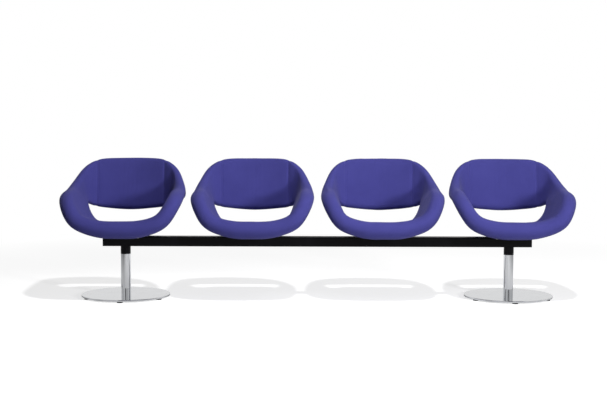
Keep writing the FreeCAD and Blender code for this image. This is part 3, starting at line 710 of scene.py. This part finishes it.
outward = ((cover - cover.mean(axis=1, keepdims=True)) * grid_normals(cover)).sum(2)
print("normals point out on", round(100 * float((outward > 0).mean())), "% of the cover")

# %% [markdown]
# ## Where the cover is held
# The cloth is fast along the back's seams and where the seat lies on its plate. Both places are needed more
# than once, so they are measured here: how far a point lies from a seam, and whether it is on the seat's
# underside over the plate. Points could be picked by hand; measured, they follow every change of the CAD
# model.

# %% Seams and plate
UNDERSIDE_TOP, UNDERSIDE_FADE = 0.021, 0.008
PLATE_MARGIN = 0.02
plate_low, plate_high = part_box("seat_bracket_1")
plate_half = (plate_high - plate_low) / 2


def over_plate(points, margin):
    """1 where a point lies under the seat and over the bracket's plate, running out to 0 beside it."""
    beyond = np.maximum(np.abs(points[..., 0]) - plate_half.x, np.abs(points[..., 1]) - plate_half.y)
    below = np.clip((plate_high.z + UNDERSIDE_TOP - points[..., 2]) / UNDERSIDE_FADE, 0, 1)
    return np.clip(1 - beyond / margin, 0, 1) * below


def seam_distance():
    """How far each point of the cover lies from the nearer back seam, in metres along the ring."""
    seams = lengths[0], lengths[len(back_loops)], travelled[-1]
    return np.min([np.abs(lengths - seam) for seam in seams], axis=0)


print("points over the plate", int((over_plate(cover, PLATE_MARGIN) > 0).sum()), "of", lengths.size)

# %% [markdown]
# ## The foam presses the cover out
# A cover is cut a little small and the foam fills it, so the cloth stands full between its seams and sinks
# at them. The bulge could be drawn, but the cloth simulation gives it with its small unevenness: the cover
# starts a little small, is held fast at the seams and over the plate, and a pressure inside pushes the rest
# out. Air alone would blow the ring up like a balloon, so every other point is held too, loosely, which
# stands for the foam that the cloth is glued to.

# %% Simulated padding
START_SMALLER = 0.0015
FAST_AT_SEAM = 0.0045
FAST_ON_PLATE = 0.3
FOAM_HOLD = 0.3
HOLD_STIFFNESS = 10
PRESSURE = 400
SETTLE_FRAMES = 20
LARGEST_MOVE = 0.005


def pressed_out(points):
    """The grid after a cloth simulation with pressure inside."""
    trial = grid_object("cover_trial", points)
    on_plate = over_plate(points, PLATE_MARGIN) > FAST_ON_PLATE
    fast = np.maximum(seam_distance() < FAST_AT_SEAM, on_plate).ravel()
    held = trial.vertex_groups.new(name="held")
    held.add(np.flatnonzero(~fast).tolist(), FOAM_HOLD, "REPLACE")
    held.add(np.flatnonzero(fast).tolist(), 1.0, "REPLACE")
    cloth = trial.modifiers.new("padding", "CLOTH").settings
    cloth.vertex_group_mass = "held"
    cloth.pin_stiffness = HOLD_STIFFNESS
    cloth.use_pressure = True
    cloth.uniform_pressure_force = PRESSURE
    cloth.effector_weights.gravity = 0
    for number in range(1, SETTLE_FRAMES + 1):
        scene.frame_set(number)
    seen = trial.evaluated_get(bpy.context.evaluated_depsgraph_get())
    moved = np.empty(points.size, np.float32)
    seen.data.vertices.foreach_get("co", moved)
    scene.frame_set(1)
    bpy.data.objects.remove(trial)
    return moved.reshape(points.shape)


small = cover - START_SMALLER * grid_normals(cover)
move = pressed_out(small) - small
size = np.linalg.norm(move, axis=2, keepdims=True)
filled = small + move * np.minimum(1, LARGEST_MOVE / np.maximum(size, 1e-9))
print("simulated move, median and largest", np.round(1000 * np.quantile(size, (0.5, 1)), 1), "mm")
stands_off = ((filled - cover) * grid_normals(cover)).sum(2).mean()
print("cover stands", np.round(1000 * stands_off, 2), "mm off the drawn shape on average")

# %% [markdown]
# ## Seams
# The back's two seams are lapped and sewn with two needles: a soft hollow pulled into the foam, a narrow
# groove where the upper panel's edge ends, and a line on either side of it where the thread bites. The
# closing seam runs all the way along the outer face, where the cover is drawn together last; it is a plain
# butted seam, only a groove. Bump alone would leave the outline smooth, so the seams are pressed into the
# mesh. Each dip has a depth and a width.

# %% Seams
HOLLOW, LAP_EDGE, NEEDLE_LINE = (0.0016, 0.012), (0.0012, 0.0016), (0.0008, 0.0014)
CLOSING_HOLLOW, CLOSING_GROOVE = (0.0012, 0.006), (0.0014, 0.0018)


def dip(distance, depth, width):
    """Depth of a soft groove at a distance from its middle."""
    return depth * np.exp(-(distance / width) ** 2)


def seam_depth():
    """How far the seams draw each point of the cover in, in metres."""
    here = seam_distance()
    lapped = dip(here, *HOLLOW) + dip(here, *LAP_EDGE) + dip(here - STITCH_OFFSET, *NEEDLE_LINE)
    steps = np.linalg.norm(np.roll(cover, -1, 1) - cover, axis=2)
    along = np.cumsum(steps, axis=1) - steps
    there = np.abs(along - along[:, closing_index][:, None])
    return np.maximum(lapped, dip(there, *CLOSING_HOLLOW) + dip(there, *CLOSING_GROOVE))


sewn = filled - seam_depth()[:, :, None] * grid_normals(filled)
print("deepest seam", round(1000 * float(seam_depth().max()), 2), "mm")

# %% [markdown]
# ## Thread
# The two rows of stitches beside each back seam are a thick thread in the cloth's colour. A drawn line
# would do from far away; real stitches are short, rise from one hole and dive into the next. Each one is a
# small tapered tube of five rings, laid along the loop that already runs at the needle's distance from the
# seam. A ring has its place along the stitch, its share of the thread's radius and its rise in radii.

# %% One row of stitches
STITCH_PITCH, STITCH_LENGTH, THREAD_RADIUS = 0.0055, 0.0042, 0.00048
STITCH_RINGS = np.array([(-0.5, 0.3, -0.9), (-0.34, 0.85, 0.1), (0, 1, 0.55),
                         (0.34, 0.85, 0.1), (0.5, 0.3, -0.9)])
SIDES_OF_THREAD = 6

thread, tree, shader = new_finish("violet_thread", Specular_IOR_Level=0.4)
twist = spread(tree, noise(tree, own_place(tree), 2600.0, 1.0), 0.35, 0.65)
tree.links.new(tint(tree, twist, (0.050, 0.045, 0.22, 1), (0.11, 0.10, 0.38, 1)), shader.inputs["Base Color"])
tree.links.new(spread(tree, twist, 0, 1, 0.62, 0.45), shader.inputs["Roughness"])
link_normal(tree, shader, twist, 0.0002, 0.7)


def stitch_row(line, normals):
    """Rings of points for the stitches along a closed line on the cover."""
    closed, faces_out = np.vstack([line, line[:1]]), np.vstack([normals, normals[:1]])
    run = np.concatenate([[0], np.cumsum(np.linalg.norm(np.diff(closed, axis=0), axis=1))])
    count = round(run[-1] / STITCH_PITCH)
    starts = np.arange(count) * run[-1] / count
    at = (starts[:, None] + STITCH_LENGTH * (STITCH_RINGS[:, 0] + 0.5)) % run[-1]
    middle = np.stack([np.interp(at, run, closed[:, axis]) for axis in range(3)], 2)
    out = np.stack([np.interp(at, run, faces_out[:, axis]) for axis in range(3)], 2)
    forward = (middle[:, -1] - middle[:, 0])[:, None]
    side = np.cross(forward, out)
    side /= np.linalg.norm(side, axis=2, keepdims=True)
    middle = middle + THREAD_RADIUS * STITCH_RINGS[None, :, 2, None] * out
    angle = np.linspace(0, 2 * math.pi, SIDES_OF_THREAD, endpoint=False)[:, None]
    reach = THREAD_RADIUS * STITCH_RINGS[None, :, 1, None, None]
    return middle[:, :, None] + reach * (np.cos(angle) * side[:, :, None] + np.sin(angle) * out[:, :, None])


print(thread.name, "on loops", STITCH_OFFSET * 1000, "mm from the seams")

# %% [markdown]
# ## All stitches of a chair
# A chair has four rows of stitches, some four hundred in all. One object per stitch would be slow to
# handle, so they go into one mesh: the rings of each tube are joined by four-sided faces and closed at both
# ends.

# %% Stitch mesh
def stitch_object(name, points):
    """All stitches of one chair as one mesh, and how many there are."""
    normals = grid_normals(points)
    seams = 0, len(back_loops)
    rows = [(seam + sign * STITCH_LOOP) % len(points) for seam in seams for sign in (1, -1)]
    rings = np.concatenate([stitch_row(points[row], normals[row]) for row in rows])
    stitches, levels, sides = rings.shape[:3]
    level, side = np.meshgrid(np.arange(levels - 1), np.arange(sides), indexing="ij")
    here, following = level * sides, (level + 1) * sides
    beside = (side + 1) % sides
    tube = np.stack([here + side, here + beside, following + beside, following + side], 2).reshape(1, -1, 4)
    first = np.arange(stitches) * levels * sides
    quads = tube + first[:, None, None]
    last = first + (levels - 1) * sides
    ends = [list(range(k, k + sides)) for pair in zip(first.tolist(), last.tolist()) for k in pair]
    return new_piece(name, rings, quads.reshape(-1, 4).tolist() + ends, thread), stitches


print(SIDES_OF_THREAD, "sides and", len(STITCH_RINGS), "rings to a stitch")

# %% [markdown]
# ## Four chairs
# The chairs are alike but not the same: foam and cloth are never quite even. Copies of one mesh would be
# simpler and look it. So each cover takes the sewn shape, adds its own slow unevenness of a fraction of a
# millimetre, is laid flat on its plate and moved to its place on the beam, which is read from the foam it
# stands for. One step of subdivision rounds off the loops.

# %% Chairs
CHAIRS = 4
UNEVEN = 0.0005
WAVES, WAVE_LENGTH = 8, 0.22
COVER_ON_PAN = 0.0045
FLAT_MARGIN, FLAT_SHARE = 0.03, 1.5


def unevenness(points, number):
    """Slow waves over the cover, different on every chair and the same each run."""
    random = np.random.default_rng(number)
    waves = random.normal(size=(WAVES, 3)) * 2 * math.pi / WAVE_LENGTH
    return sum(np.sin(points @ wave + random.uniform(0, 2 * math.pi)) for wave in waves) / math.sqrt(WAVES)


def rest_on_plate(points):
    """The underside drawn flat where the seat lies on its plate, clear of the beam and the bolts."""
    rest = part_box("chair_frame_1")[0].z + COVER_ON_PAN
    share = np.clip(over_plate(points, FLAT_MARGIN) * FLAT_SHARE, 0, 1)
    share = share * share * (3 - 2 * share)
    flat = points.copy()
    flat[..., 2] += share * np.maximum(rest - points[..., 2], 0)
    return flat


for number in range(1, CHAIRS + 1):
    low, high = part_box(f"seat_{number}")
    chair_x = (low.x + high.x) / 2
    uneven = sewn + UNEVEN * unevenness(sewn, number)[:, :, None] * grid_normals(sewn)
    placed = rest_on_plate(uneven) + np.array([chair_x, 0, 0])
    shell = grid_object(f"chair_cover_{number}", placed)
    shell.modifiers.new("smooth", "SUBSURF").levels = 1
    shell.modifiers["smooth"].render_levels = 1
    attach(shell, "bench")
    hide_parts(*(f"{part}_{number}" for part in ("seat", "arm_left", "arm_right", "back")))
    stitches, count = stitch_object(f"seam_thread_{number}", placed)
    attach(stitches, "bench")
    print(shell.name, len(shell.data.vertices), "points,", count, "stitches, x", round(chair_x, 3))

# %% [markdown]
# The covers may stand a few millimetres proud of the foam.

# %% Finish
import json
